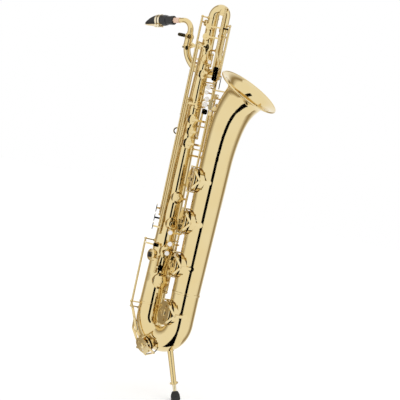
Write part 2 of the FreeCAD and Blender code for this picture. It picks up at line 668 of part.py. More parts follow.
# ---------------------------------------------------------------- key guards
def make_guard(name, axis_point, r_tube, n, u, r_cup, rise, trim):
    """Guard over an open-standing cup: a pierced plate, two hidden feet and a forked leg at the front."""
    seat = axis_point + n * (r_tube + BELL_CHIMNEY + PAD_GAP)
    w = n.cross(u)

    def spot(angle, radius, height):
        a = math.radians(angle)
        return seat + (u * math.cos(a) + w * math.sin(a)) * radius + n * height

    disc = rod(spot(0, 0, rise), spot(0, 0, rise + 2.0), r_cup - 2.0)
    for angle in (60, 180, 300):
        disc = disc.cut(rod(spot(angle, r_cup * 0.6, rise - 1), spot(angle, r_cup * 0.6, rise + 3), r_cup * 0.11))
    shapes = [disc]
    level = rise + 1.0
    for angle in (112, 248):
        knee = spot(angle, r_cup + 3.4, level)
        shapes.append(plank(spot(angle, r_cup * 0.8, level), knee, 7.0, 2.0, n))
        shapes.append(Part.makeSphere(2.6, knee))
        shapes.append(rod(knee, spot(angle, r_cup + 3.4, -24), 2.2))
    fork = spot(0, r_cup * 1.32, 3.0)
    foot = spot(0, r_cup * 1.08, -28.0)
    for angle in (-40, 40):
        tip = spot(angle, r_cup + 1.5, level)
        shapes.append(plank(spot(angle, r_cup * 0.75, level), tip, 9.0, 2.0, n))
        shapes.append(plank(tip, fork, 6.0, 2.4, u + n * 0.6))
        shapes.append(Part.makeSphere(2.6, tip))
    shapes.append(Part.makeSphere(3.2, fork))
    shapes.append(plank(fork, foot, 8.0, 2.6, u))
    side = math.sqrt(max(r_tube ** 2 - (r_cup * 1.08) ** 2, 60.0))
    f = (u * (r_cup * 1.08) + n * side).normalize()
    shapes.append(rod(axis_point + f * (r_tube - 3.0), axis_point + f * (r_tube + 1.6), 8.0))
    whole = fuse(shapes)
    for solid in trim:
        whole = whole.cut(solid)
    largest = sorted(whole.Solids, key=lambda s: s.Volume)[-1]
    keep(name, largest)


def make_guards():
    for key, name in (("low_a_key", "guard_low_a"), ("low_b_flat_key", "guard_low_b_flat"),
                      ("low_b_key", "guard_low_b"), ("low_c_sharp_key", "guard_low_c_sharp")):
        angle, z = BELL_HOLES[key]
        n = flat(angle)
        u = flat(angle + 90.0)
        r_tube = max(bell_r(z), 39.0)
        trim = [solids["bell"] if z > BELL_FOOT_Z else solids["bow"]]
        make_guard(name, V(bell_x(z), 0, z), r_tube, n, u, BELL_CUP_R, 14.8, trim)
    centre, n = low_c_place()
    hinge, axis = low_c_hinge()
    u = V(1, 0, -0.9)
    u = (u - n * u.dot(n)).normalize()
    make_guard("guard_low_c", centre, 37.2, n, u, 27.5, 16.6, [solids["bow"]])


# ---------------------------------------------------------------- neck, mouthpiece and receiver
NECK_ARC = V(-105, 0, 806)
NECK_ARC_R = 32.0
NECK_TURN = 96.0


def neck_axis():
    """Direction of the neck's end, and the point where the mouthpiece's shank begins."""
    a = math.radians(NECK_TURN)
    bend_end = NECK_ARC + V(NECK_ARC_R * math.cos(a), 0, NECK_ARC_R * math.sin(a))
    d = V(-math.sin(a), 0, math.cos(a))
    return bend_end, d, bend_end + d * 34.0


def make_neck():
    leg = V(LOOP_LEFT_X, 0, 0)
    sleeve = Part.makeCylinder(12.2, 26, leg + UP * 771).cut(Part.makeCylinder(9.65, 30, leg + UP * 770))
    step = band(leg + UP * 763.5, UP, LOOP_R, 12.6, 7.5)
    collar = band(leg + UP * 787, UP, 12.0, 13.8, 9.0)
    body = fuse([sleeve, step, collar])
    ears = Part.makeBox(9, 13, 12)
    turn = FreeCAD.Rotation(V(0, 0, 1), FRONT_DEG - 90.0)
    ears.Placement = FreeCAD.Placement(leg + FRONT * 11.0 - ACROSS * 4.5 + UP * 784.5, turn)
    box = plate(leg + FRONT * 22 + UP * 790.5, FRONT * -1, 9.0, 12.0, 11.6)
    slot = plate(leg + FRONT * 30 + UP * 788, FRONT * -1, 1.8, 30.0, 22.0)
    bore = rod(leg + FRONT * 17.5 + UP * 791 - ACROSS * 20, leg + FRONT * 17.5 + UP * 791 + ACROSS * 20, 2.05)
    hole = Part.makeCylinder(9.65, 30, leg + UP * 770)
    keep("neck_receiver", fuse([body, box]).cut(slot).cut(bore).cut(hole))
    bend_end, d, shank = neck_axis()
    low = leg + UP * 797.3
    stations = []
    for i in range(9):
        a = math.radians(NECK_TURN * i / 8)
        point = NECK_ARC + V(NECK_ARC_R * math.cos(a), 0, NECK_ARC_R * math.sin(a))
        stations.append((point, V(-math.sin(a), 0, math.cos(a)), 8.8 - 1.2 * i / 8))
    outer = [Part.makeCylinder(8.8, 806 - 797.3, low), loft(stations)]
    outer.append(Part.makeCone(7.6, 6.6, 58, bend_end, d))
    outer.append(Part.makeCylinder(9.6, 22.3, leg + UP * 775.2))
    inner = [Part.makeCylinder(7.8, 806 - 775, leg + UP * 775), loft(stations, -1.0)]
    inner.append(Part.makeCone(6.6, 5.6, 58, bend_end, d))
    collar = band(low, UP, 8.6, 11.6, 3.6)
    brace = band(low + UP * 5.5, UP, 8.6, 9.8, 2.4)
    keep("neck_tube", fuse(outer + [collar, brace]).cut(fuse(inner)))
    cork = Part.makeCone(8.05, 7.75, 46, bend_end + d * 12.0, d)
    cork = cork.cut(Part.makeCone(7.6, 6.6, 58, bend_end, d))
    keep("neck_cork", cork)
    screw = leg + FRONT * 17.5 + UP * 791
    shaft = rod(screw + ACROSS * 6.0, screw - ACROSS * 12.5, 2.0)
    head = plank(screw - ACROSS * 12.0, screw - ACROSS * 29.0, 10.0, 2.6, FRONT)
    tip = Part.makeCylinder(5.0, 2.6, screw - ACROSS * 29.0 - FRONT * 1.3, FRONT)
    neck_collar = rod(screw - ACROSS * 9.5, screw - ACROSS * 12.5, 3.6)
    keep("neck_screw", fuse([shaft, head, tip, neck_collar]))
    moving["neck_screw"] = (screw, ACROSS * -1, 180.0)


def mouthpiece_frame():
    bend_end, d, shank = neck_axis()
    return shank, d, V(-d.z, 0, d.x) * -1.0


def make_mouthpiece():
    start, d, up = mouthpiece_frame()
    length = 108.0
    outline = [(0, 12.6), (1.5, 13.4), (9, 13.4), (10, 12.9), (24, 13.1), (26, 14.8), (34, 16.3), (66, 15.9)]
    profile = [(0.0, 0.0)] + [(r, x) for x, r in outline] + [(11.0, length), (0.0, length)]
    body = turned(profile, start, d)
    table = Part.makeBox(80, 60, 30)
    lean = FreeCAD.Rotation(d, V(0, 1, 0), up * -1.0, "ZXY")

    def slab(p, q, thickness, side):
        """Half-space slab under or over a line in the xz plane."""
        n = (q - p).cross(V(0, 1, 0)).normalize() * side
        wire = Part.makePolygon([p, q, q + n * thickness, p + n * thickness, p])
        face = Part.Face(wire)
        face.translate(V(0, -40, 0))
        return face.extrude(V(0, 80, 0))

    table_h = -12.6
    below = slab(start + d * 40 + up * table_h, start + d * 120 + up * table_h, 30, 1.0)
    if below.CenterOfMass.z > (start + d * 80 + up * table_h).z:
        below = slab(start + d * 40 + up * table_h, start + d * 120 + up * table_h, 30, -1.0)
    beak_a = start + d * 64 + up * 16.2
    beak_b = start + d * 109 + up * (table_h + 1.6)
    above = slab(beak_a, beak_b, 40, 1.0)
    if above.CenterOfMass.z < beak_b.z:
        above = slab(beak_a, beak_b, 40, -1.0)
    sides = []
    for sign in (-1.0, 1.0):
        p = start + d * 72 + V(0, 16.5 * sign, 0)
        q = start + d * 112 + V(0, 8.2 * sign, 0)
        wire = Part.makePolygon([p, q, q + V(0, 20 * sign, 0), p + V(0, 20 * sign, 0), p])
        face = Part.Face(wire)
        face.translate(up * -30)
        sides.append(face.extrude(up * 60))
    bore = Part.makeCone(8.15, 7.85, 46, start - d * 0.5, d)
    chamber = rod(start + d * 40, start + d * 78, 7.0)
    window = slab(start + d * 72 + up * (table_h - 1), start + d * 102 + up * (table_h - 1), 10, -1.0)
    window = rod(start + d * 72, start + d * 102 + up * (table_h + 5), 5.0)
    keep("mouthpiece", body.cut(below).cut(above).cut(sides[0]).cut(sides[1]).cut(bore).cut(chamber).cut(window))
    reed_pts = [(42, table_h), (107.5, table_h), (107.5, table_h - 0.4), (80, table_h - 2.6), (42, table_h - 3.0)]
    wire_pts = [start + d * x + up * h for x, h in reed_pts]
    face = Part.Face(Part.makePolygon(wire_pts + [wire_pts[0]]))
    face.translate(V(0, -8.2, 0))
    keep("reed", face.extrude(V(0, 16.4, 0)))
    bands = []
    for x, r in ((46.0, 16.6), (56.0, 16.5)):
        bands.append(turned([(r + 0.15, 0), (r + 1.4, 0), (r + 1.4, 6.5), (r + 0.15, 6.5)], start + d * x, d))
    keel = start + d * 43 + up * -18.6
    rail = plank(keel, keel + d * 22, 9.0, 3.6, up)
    hold = fuse(bands + [rail])
    holes = [rod(keel + d * x - V(0, 20, 0), keel + d * x + V(0, 20, 0), 1.75) for x in (6.0, 16.0)]
    keep("ligature", hold.cut(Part.makeCompound(holes)))
    screws = []
    for x in (6.0, 16.0):
        c = keel + d * x
        shaft = rod(c - V(0, 14, 0), c + V(0, 6, 0), 1.7)
        knob = turned([(0, 0), (4.2, 0), (4.6, 0.6), (4.6, 6.4), (4.2, 7), (0, 7)], c - V(0, 16, 0), V(0, 1, 0))
        screws.append(fuse([shaft, knob]))
    keep("ligature_screws", Part.makeCompound(screws))


# ---------------------------------------------------------------- floor peg
def make_peg():
    tip = V(PEG_TO[0], 0, PEG_TO[1])
    back = PEG_AXIS * -1.0
    top = tip + back * 172.0
    knob = tip + back * 54.0
    sleeve = Part.makeCone(9.0, 7.6, (knob - top).Length, top, knob - top)
    flare = turned([(0, 0), (12.5, 0), (12.0, 4), (9.5, 8), (0, 8)], tip + back * 148.0, PEG_AXIS)
    whole = fuse([sleeve, flare]).cut(solids["bow"])
    largest = sorted(whole.Solids, key=lambda s: s.Volume)
    outer = [s for s in largest if s.CenterOfMass.z < PEG_FROM[1]][-1]
    keep("peg_socket", outer.cut(rod(top - PEG_AXIS * 5, knob + PEG_AXIS * 5, 5.2)))
    shaft = rod(tip + back * 16.0, tip + back * 136.0, 5.0)
    keep("peg_rod", shaft)
    rubber = turned([(5.02, 27), (8.0, 27), (12.2, 18.5), (13.2, 13), (13.2, 4), (11.0, 0), (0, 0), (0, 15.9),
                     (5.02, 15.9)], tip, back)
    keep("peg_tip", rubber)
    ring = turned([(5.3, 0), (7.0, 0), (7.0, 2), (9.0, 2), (9.0, 9), (5.3, 9)], knob + PEG_AXIS * 9.4, back)
    wings = [rod(knob + PEG_AXIS * 4 + V(0, 0, 0) + PEG_AXIS.cross(V(0, 1, 0)) * 6.0 * s,
                 knob + PEG_AXIS * 4 + PEG_AXIS.cross(V(0, 1, 0)) * 12.5 * s, 3.2) for s in (-1, 1)]
    keep("peg_collar", fuse([ring] + wings).cut(rod(tip, top, 5.3)))
    moving["peg_collar"] = (tip, PEG_AXIS, 90.0)


# ---------------------------------------------------------------- fittings
def make_braces():
    z = 455.0
    p = polar(72, main_r(z) - 2, z)
    q = V(BELL_KNEE_X, 0, z) + flat(118) * 42.0
    middle = (p + q) * 0.5
    d = (q - p).normalize()
    bars = [rod(p, middle - d * 11.0, 3.0), rod(middle + d * 11.0, q, 3.0), Part.makeTorus(12.0, 2.6, middle, V(0, 1, 0))]
    bars.append(rod(p, p + d * 4.0, 7.0))
    bars.append(rod(q - d * 5.0, q, 7.0))
    keep("bell_brace", fuse(bars).cut(solids["main"]).cut(solids["bell"]))
    shapes = []
    for z, x0, x1 in ((768.0, LOOP_LEFT_X + 8, -14.0), (762.0, 14.0, LOOP_RIGHT_X - LOOP_R - 0.7)):
        a = V(x0, 0, z)
        b = V(x1, 0, z)
        shapes.append(rod(a, b, 2.6))
    shapes.append(plank(V(-62, -2, 776), V(-20, -2, 760), 5.0, 2.2, V(0, 1, 0)))
    shapes.append(plank(V(-62, -2, 760), V(-20, -2, 776), 5.0, 2.2, V(0, 1, 0)))
    shapes.append(band(V(LOOP_RIGHT_X, 0, 757), UP, LOOP_R + RUN_FIT, 12.2, 10.0))
    shapes.append(band(V(LOOP_RIGHT_X, 0, 801), UP, LOOP_R + RUN_FIT, 12.6, 7.0))
    whole = fuse(shapes).cut(solids["main"])
    keep("pigtail_braces", whole.cut(Part.makeCylinder(12.7, 34, V(LOOP_LEFT_X, 0, 750))))
    holder = V(LOOP_LEFT_X, 0, 757) + FRONT * 17.0
    block = plate(V(LOOP_LEFT_X, 0, 757) + FRONT * 22.0, FRONT * -1.0, 8.0, 12.0, 13.0)
    block = block.cut(Part.makeCylinder(2.0, 40, holder - UP * 20))
    block = block.cut(Part.makeCylinder(LOOP_R, 40, V(LOOP_LEFT_X, 0, 740)))
    screw = rod(holder + UP * 1.5 - ACROSS * 2.2, holder + UP * 1.5 - ACROSS * 12.0, 1.6)
    knob = rod(holder + UP * 1.5 - ACROSS * 8.0, holder + UP * 1.5 - ACROSS * 13.5, 3.6)
    keep("lyre_holder", fuse([block, screw, knob]))


def make_straps():
    centre = at(-35, -12, 516)
    inward = (V(0, 0, 516) - centre).normalize()
    ring = band(centre - FRONT * 2.25, FRONT, 6.5, 10.5, 4.5)
    foot = planks([centre + inward * 9.5, centre + inward * 26.0], 8.0, 3.5, UP)
    stem = rod(centre + inward * 10.0, centre + inward * 20.0, 2.6)
    keep("strap_ring", fuse([ring, stem] + foot).cut(solids["main"]))
    hook = at(-20, -26, 300)
    inward = (V(0, 0, 300) - hook).normalize()
    z = V(0, 0, 300)
    base = planks([z - inward * (main_r(300) - 2) - UP * 14, z - inward * (main_r(300) - 2) + UP * 14], 12, 6, inward)
    way = [hook + inward * 6, hook - inward * 6, hook - inward * 12 - UP * 9, hook - inward * 11 - UP * 20]
    keep("thumb_hook", fuse(base + planks(way, 11, 2.6, inward + UP * 0.3)).cut(solids["main"]))
    z = V(0, 0, 606)
    away = polar(170, 1.0, 0)
    rest = rod(z + away * (main_r(606) - 2), z + away * (main_r(606) + 5), 8.0)
    keep("thumb_rest", rest.cut(solids["main"]))


def make_octave():
    lever = HINGES["thumb"][0]
    touch = [plate(at(-30, -22, 580), ACROSS * -1.0, 22, 14, 2.4)] + arm([lever, at(-31.5, -20, 0)], 580)
    shapes = [hinge_tube(lever, 570.4, 697.6)] + touch
    keep("thumb_lever", bored(fuse(shapes), lever, UP))
    moving["thumb_lever"] = (lever, UP * 1.0, 8.0)
    tube_key("octave_key", "octave", (713.4, 726.6), opens=False, lift=2.5)


def make_water_key():
    lean = V(0, 0.488, -0.873).normalize()
    middle = V((LOOP_RIGHT_X + LOOP_LEFT_X) / 2, 33.9, 696.1)
    seat = middle + lean * (LOOP_R + 1.2)
    along = V(1, 0, 0)
    hinge_axis = lean.cross(along)
    hinge = seat - along * 16.0 + lean * 3.0
    nipple = rod(middle + lean * (LOOP_R - 2.0), middle + lean * (LOOP_R + 0.8), 3.2)
    ears = []
    for s in (-1, 1):
        base = middle - along * 15.0 - lean * 3.0 + hinge_axis * 5.4 * s
        ears.append(plank(base, hinge + hinge_axis * 5.4 * s + lean * 2.5, 6.0, 1.8, hinge_axis))
    pin = rod(hinge - hinge_axis * 8.0, hinge + hinge_axis * 8.0, 1.2)
    saddle = fuse([nipple] + ears).cut(pin).cut(solids["loop"])
    keep("water_key_saddle", Part.makeCompound([saddle, pin]))
    lever = [rod(hinge - hinge_axis * 4.2, hinge + hinge_axis * 4.2, 2.6)]
    lever.append(plank(hinge + lean * 1.4, seat + lean * 4.4, 4.0, 1.8, lean))
    lever.append(plank(hinge + lean * 1.4, hinge - along * 14.0 - lean * 2.0, 7.0, 1.6, lean))
    lever.append(turned([(0, 0.4), (4.2, 0.4), (4.2, 4.0), (3.0, 5.4), (0, 5.4)], seat, lean))
    key = fuse(lever).cut(rod(hinge - hinge_axis * 30, hinge + hinge_axis * 30, 1.25))
    keep("water_key", key)
    moving["water_key"] = (hinge, hinge_axis * -1.0, 14.0)
make_body_tube()
make_bottom_bow()
make_bell()
make_rings()
make_top_bow()
make_pigtail()
make_hinges()
make_stack_keys()
make_low_keys()
make_side_keys()
make_palm_keys()
make_low_c()
make_guards()
make_neck()
make_mouthpiece()
make_peg()
make_braces()
make_straps()
make_octave()
make_water_key()


# ---------------------------------------------------------------- export
os.makedirs("parts", exist_ok=True)
for name, shape in nodes.items():
    moved = shape.copy()
    moved.translate(-ORIGIN)
    moved.exportStep("parts/" + name + ".step")
    print(name, shape.isValid(), len(shape.Solids), round(shape.Volume / 1000.0, 2), "cm3")
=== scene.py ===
"""Looks of the low-A baritone saxophone: lacquer, pads, pearls, springs, screws, stage and camera."""

import json
import math

import bmesh
import bpy
from mathutils import Matrix, Vector


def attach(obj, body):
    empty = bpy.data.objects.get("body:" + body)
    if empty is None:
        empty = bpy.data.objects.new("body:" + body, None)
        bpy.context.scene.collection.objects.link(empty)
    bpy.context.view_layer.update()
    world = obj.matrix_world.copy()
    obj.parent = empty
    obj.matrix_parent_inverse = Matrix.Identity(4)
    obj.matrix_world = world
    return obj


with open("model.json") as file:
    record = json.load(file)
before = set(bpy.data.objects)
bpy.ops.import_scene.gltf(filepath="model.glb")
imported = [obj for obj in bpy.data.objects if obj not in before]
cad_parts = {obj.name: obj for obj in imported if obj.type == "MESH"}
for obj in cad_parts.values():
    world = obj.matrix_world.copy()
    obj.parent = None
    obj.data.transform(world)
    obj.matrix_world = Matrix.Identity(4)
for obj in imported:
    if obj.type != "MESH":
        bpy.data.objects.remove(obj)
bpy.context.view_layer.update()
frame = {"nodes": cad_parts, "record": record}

MM = 0.001

# ---------------------------------------------------------------- layout shared with the CAD model
# Heights are over the main tube's zero; the row's origin is the peg tip.
TIP_X, TIP_Z = 160.0, -232.0
FRONT_DEG = -53.0
FRONT = Vector((math.cos(math.radians(FRONT_DEG)), math.sin(math.radians(FRONT_DEG)), 0))
ACROSS = Vector((-FRONT.y, FRONT.x, 0))
UP = Vector((0, 0, 1))


def place(x, y, z):
    """Point in the CAD model's working axes (mm), as a point of the row in metres."""
    return Vector((x - TIP_X, y, z - TIP_Z)) * MM


def at(across, out, z):
    """Point given across, out and up from the main tube's axis."""
    p = ACROSS * across + FRONT * out
    return place(p.x, p.y, z)


# ---------------------------------------------------------------- node helpers for materials
class Nodes:
    """Short hand for building a node material."""

    def __init__(self, name):
        self.material = bpy.data.materials.new(name)
        self.material.use_nodes = True
        self.tree = self.material.node_tree
        self.shader = self.tree.nodes["Principled BSDF"]

    def add(self, kind, **values):
        node = self.tree.nodes.new(kind)
        for key, value in values.items():
            if hasattr(node, key):
                setattr(node, key, value)
            else:
                node.inputs[key.replace("_", " ")].default_value = value
        return node

    def link(self, a, b):
        self.tree.links.new(a, b)

    def coords(self):
        return self.add("ShaderNodeTexCoord").outputs["Object"]

    def noise(self, scale, detail=3.0, rough=0.5, stretch=None):
        node = self.add("ShaderNodeTexNoise", Scale=scale, Detail=detail, Roughness=rough)
        source = self.coords()
        if stretch:
            mapping = self.add("ShaderNodeMapping")
            mapping.inputs["Scale"].default_value = stretch
            self.link(source, mapping.inputs["Vector"])
            source = mapping.outputs["Vector"]
        self.link(source, node.inputs["Vector"])
        return node.outputs["Fac"]

    def ramp(self, source, stops):
        node = self.add("ShaderNodeValToRGB")
        ramp = node.color_ramp
        while len(ramp.elements) < len(stops):
            ramp.elements.new(0.5)
        for element, (place_, colour) in zip(ramp.elements, stops):
            element.position = place_
            element.color = (*colour, 1.0)
        self.link(source, node.inputs["Fac"])
        return node.outputs["Color"]

    def levels(self, source, low, high, out_low, out_high):
        node = self.add("ShaderNodeMapRange")
        for key, value in (("From Min", low), ("From Max", high), ("To Min", out_low), ("To Max", out_high)):
            node.inputs[key].default_value = value
        self.link(source, node.inputs["Value"])
        return node.outputs["Result"]

    def bump(self, source, strength, distance):
        node = self.add("ShaderNodeBump", Strength=strength, Distance=distance)
        self.link(source, node.inputs["Height"])
        return node.outputs["Normal"]


def tint(colour, gain):
    return tuple(min(c * g, 1.0) for c, g in zip(colour, gain))


def lacquer(name, colour, rough=0.09, wave=0.25, coat=0.35):
    """Polished brass under clear gold lacquer: faint drawing marks, mottled tone and fine scratches."""
    m = Nodes(name)
    s = m.shader
    s.inputs["Metallic"].default_value = 1.0
    s.inputs["Coat Weight"].default_value = coat
    s.inputs["Coat Roughness"].default_value = 0.04
    warm = tint(colour, (0.985, 0.955, 0.88))
    m.link(m.ramp(m.noise(14.0, 4.0), [(0.38, colour), (0.68, warm)]), s.inputs["Base Color"])
    fine = m.noise(900.0, 2.0, 0.6)
    m.link(m.levels(fine, 0.3, 0.75, rough * 0.75, rough * 1.35), s.inputs["Roughness"])
    m.link(m.bump(m.noise(38.0, 2.0, 0.45), wave, 0.00012), s.inputs["Normal"])
    return m.material


def satin_black(name, colour, rough, grain, bump):
    """Ebonite or rubber: near black, softly mottled, with a fine grain."""
    m = Nodes(name)
    s = m.shader
    lighter = tuple(c * 1.9 + 0.004 for c in colour)
    m.link(m.ramp(m.noise(60.0, 5.0), [(0.35, colour), (0.75, lighter)]), s.inputs["Base Color"])
    m.link(m.levels(m.noise(grain, 3.0), 0.3, 0.7, rough * 0.85, rough * 1.2), s.inputs["Roughness"])
    m.link(m.bump(m.noise(grain, 4.0), bump, 0.0001), s.inputs["Normal"])
    return m.material


def cork_material():
    m = Nodes("cork")
    s = m.shader
    s.inputs["Roughness"].default_value = 0.75
    dark, light = (0.42, 0.23, 0.13), (0.80, 0.56, 0.42)
    m.link(m.ramp(m.noise(420.0, 6.0, 0.65), [(0.3, dark), (0.5, light), (0.8, (0.88, 0.68, 0.54))]),
           s.inputs["Base Color"])
    m.link(m.bump(m.noise(600.0, 4.0), 0.6, 0.0003), s.inputs["Normal"])
    return m.material


def cane_material():
    m = Nodes("cane")
    s = m.shader
    s.inputs["Roughness"].default_value = 0.45
    fibre = m.noise(260.0, 4.0, 0.55, (0.05, 1.0, 1.0))
    m.link(m.ramp(fibre, [(0.3, (0.62, 0.45, 0.22)), (0.7, (0.86, 0.72, 0.45))]), s.inputs["Base Color"])
    m.link(m.bump(fibre, 0.3, 0.0001), s.inputs["Normal"])
    return m.material


def steel_material(name, colour, rough):
    m = Nodes(name)
    s = m.shader
    s.inputs["Metallic"].default_value = 1.0
    grain = m.noise(500.0, 3.0, 0.6, (1.0, 1.0, 0.05))
    m.link(m.ramp(grain, [(0.35, colour), (0.7, tint(colour, (0.8, 0.8, 0.8)))]), s.inputs["Base Color"])
    m.link(m.levels(grain, 0.3, 0.7, rough * 0.7, rough * 1.3), s.inputs["Roughness"])
    return m.material


def pearl_material():
    """Mother-of-pearl: white with faint pink and green clouds, glossy."""
    m = Nodes("mother_of_pearl")
    s = m.shader
    s.inputs["Roughness"].default_value = 0.16
    s.inputs["Coat Weight"].default_value = 0.6
    cloud = m.noise(230.0, 5.0, 0.6, (1.0, 0.5, 1.4))
    stops = [(0.30, (0.80, 0.80, 0.78)), (0.5, (0.93, 0.92, 0.90))]
    stops += [(0.62, (0.90, 0.84, 0.86)), (0.75, (0.84, 0.92, 0.89))]
    m.link(m.ramp(cloud, stops), s.inputs["Base Color"])
    return m.material


def leather_material():
    m = Nodes("pad_leather")
    s = m.shader
    s.inputs["Roughness"].default_value = 0.6
    tan = [(0.3, (0.36, 0.20, 0.10)), (0.7, (0.55, 0.34, 0.19))]
    m.link(m.ramp(m.noise(300.0, 4.0), tan), s.inputs["Base Color"])
    grain = m.add("ShaderNodeTexVoronoi", Scale=1600.0)
    m.link(m.coords(), grain.inputs["Vector"])
    m.link(m.bump(grain.outputs["Distance"], 0.25, 0.00008), s.inputs["Normal"])
    return m.material


GOLD = (0.80, 0.655, 0.355)
MATERIALS = {
    "tube_brass": lacquer("tube_brass", GOLD, 0.07, 0.12),
    "key_brass": lacquer("key_brass", (0.80, 0.645, 0.34), 0.09, 0.2),
    "guard_brass": lacquer("guard_brass", (0.82, 0.675, 0.375), 0.09, 0.2),
    "fitting_brass": lacquer("fitting_brass", (0.79, 0.63, 0.32), 0.12, 0.25),
    "ligature_metal": lacquer("ligature_metal", (0.88, 0.80, 0.62), 0.16, 0.3),
    "rod_steel": lacquer("rod_brass", (0.84, 0.74, 0.50), 0.14, 0.2),
    "steel": steel_material("steel", (0.62, 0.60, 0.56), 0.2),
    "ebonite": satin_black("ebonite", (0.012, 0.012, 0.013), 0.28, 380.0, 0.08),
    "rubber": satin_black("rubber", (0.010, 0.010, 0.010), 0.62, 900.0, 0.35),
    "cane": cane_material(),
    "cork": cork_material(),
    "pearl": pearl_material(),
    "leather": leather_material(),
    "felt": satin_black("felt", (0.03, 0.028, 0.028), 0.9, 700.0, 0.6),
}


def dress_nodes():
    """Give every CAD node the material of its slot."""
    slots = {s["node"]: s["material_slot"] for s in frame["record"]["subparts"]}
    for name, obj in frame["nodes"].items():
        obj.data.materials.clear()
        obj.data.materials.append(MATERIALS[slots[name]])


# ---------------------------------------------------------------- stage, light and camera
VIEW_AZIMUTH = 37.0
VIEW_ELEVATION = 2.0
VIEW_DISTANCE = 3.3
VIEW_ROLL = 12.3
VIEW_HEIGHT = 1.158             # metres seen top to bottom at the horn
SENSOR = 36.0
FLOOR_HALF = 12.0
FLOOR_DROP = 0.0005             # the floor lies this far under the peg's flat end
FLAG_AWAY, FLAG_WIDTH, FLAG_HEIGHT = 2.4, 0.85, 3.6     # dark card behind the camera
LOW_FLAG_AWAY, LOW_FLAG_DROP = 1.3, 1.5                 # dark card that carries it on underneath
SIDE_AWAY, SIDE_BACK, SIDE_WIDTH, SIDE_HEIGHT = 2.2, 1.25, 3.6, 6.0
DUSK = (0.36, 0.29, 0.19)       # what the sides of the tubes mirror
WHITE = (1, 1, 1, 1)


def emitter(name, colour, strength):
    material = bpy.data.materials.new(name)
    material.use_nodes = True
    tree = material.node_tree
    tree.nodes.clear()
    out = tree.nodes.new("ShaderNodeOutputMaterial")
    light = tree.nodes.new("ShaderNodeEmission")
    light.inputs["Color"].default_value = (*colour, 1)
    light.inputs["Strength"].default_value = strength
    tree.links.new(light.outputs[0], out.inputs[0])
    return material


def card(name, centre, facing, level, width, height, material):
    """Flat studio card seen only in reflections."""
    mesh = bpy.data.meshes.new(name)
    z = Vector(facing).normalized()
    x = (Vector(level) - z * Vector(level).dot(z)).normalized()
    y = z.cross(x)
    corners = [(-1, -1), (1, -1), (1, 1), (-1, 1)]
    points = [centre + x * (a * width / 2) + y * (b * height / 2) for a, b in corners]
    mesh.from_pydata([tuple(p) for p in points], [], [(0, 1, 2, 3)])
    mesh.materials.append(material)
    layer = mesh.uv_layers.new(name="card")
    for loop, (u, v) in zip(layer.data, corners):
        loop.uv = (u * 0.5 + 0.5, v * 0.5 + 0.5)
    obj = bpy.data.objects.new(name, mesh)
    bpy.context.scene.collection.objects.link(obj)
    obj.visible_camera = False
    obj.visible_shadow = False
    obj.visible_diffuse = False
    return obj


def view_vector(azimuth, elevation):
    a, e = math.radians(azimuth), math.radians(elevation)
    return Vector((math.sin(a) * math.cos(e), -math.cos(a) * math.cos(e), math.sin(e)))


def make_stage():
    world = bpy.data.worlds.new("studio")
    bpy.context.scene.world = world
    world.use_nodes = True
    background = world.node_tree.nodes["Background"]
    background.inputs["Color"].default_value = WHITE
    background.inputs["Strength"].default_value = 1.0
    floor_mesh = bpy.data.meshes.new("floor")
    corners = [(-1, -1), (1, -1), (1, 1), (-1, 1)]
    floor_mesh.from_pydata([(x * FLOOR_HALF, y * FLOOR_HALF, 0) for x, y in corners], [], [(0, 1, 2, 3)])
    floor_mesh.materials.append(floor_material())
    floor = bpy.data.objects.new("floor", floor_mesh)
    floor.location = (0, 0, -FLOOR_DROP)
    bpy.context.scene.collection.objects.link(floor)
    floor.visible_glossy = False
    middle = place(60, 0, 330)
    toward = view_vector(VIEW_AZIMUTH, 0)
    black = emitter("flag_black", (0, 0, 0), 0.0)
    behind = middle + toward * FLAG_AWAY + UP * 0.15
    card("camera_flag", behind, -toward, ACROSS, FLAG_WIDTH, FLAG_HEIGHT, black)
    below = middle + toward * LOW_FLAG_AWAY - UP * LOW_FLAG_DROP
    card("floor_flag", below, UP, ACROSS, 0.7, 2.4, black)
    dusk = soft_flag("side_dusk", DUSK)
    for sign in (-1, 1):
        centre = middle - toward * SIDE_BACK + ACROSS * (SIDE_AWAY * sign) + UP * 0.1
        facing = (middle - centre).normalized()
        card("side_flag_%d" % sign, centre, facing, UP.cross(facing), SIDE_WIDTH, SIDE_HEIGHT, dusk)


def soft_flag(name, colour):
    """Card material that fades from white at its upright edges to a warm dusk in the middle."""
    material = emitter(name, colour, 1.0)
    tree = material.node_tree
    coords = tree.nodes.new("ShaderNodeTexCoord")
    split = tree.nodes.new("ShaderNodeSeparateXYZ")
    node = tree.nodes.new("ShaderNodeValToRGB")
    ramp = node.color_ramp
    ramp.interpolation = "B_SPLINE"
    for element in ramp.elements:
        element.color = WHITE
    dark = (*colour, 1)
    for position, shade in ((0.5, dark), (0.12, WHITE), (0.88, WHITE), (0.38, dark), (0.62, dark)):
        ramp.elements.new(position).color = shade
    tree.links.new(coords.outputs["UV"], split.inputs[0])
    tree.links.new(split.outputs["X"], node.inputs["Fac"])
    emission = next(n for n in tree.nodes if n.type == "EMISSION")
    tree.links.new(node.outputs["Color"], emission.inputs["Color"])
    return material


def floor_material():
    m = Nodes("pale_floor")
    s = m.shader
    s.inputs["Roughness"].default_value = 0.8
    s.inputs["Emission Color"].default_value = WHITE
    s.inputs["Emission Strength"].default_value = 0.12
    pale = [(0.3, (0.96, 0.96, 0.96)), (0.7, (0.98, 0.98, 0.98))]
    m.link(m.ramp(m.noise(6.0, 2.0), pale), s.inputs["Base Color"])
    return m.material


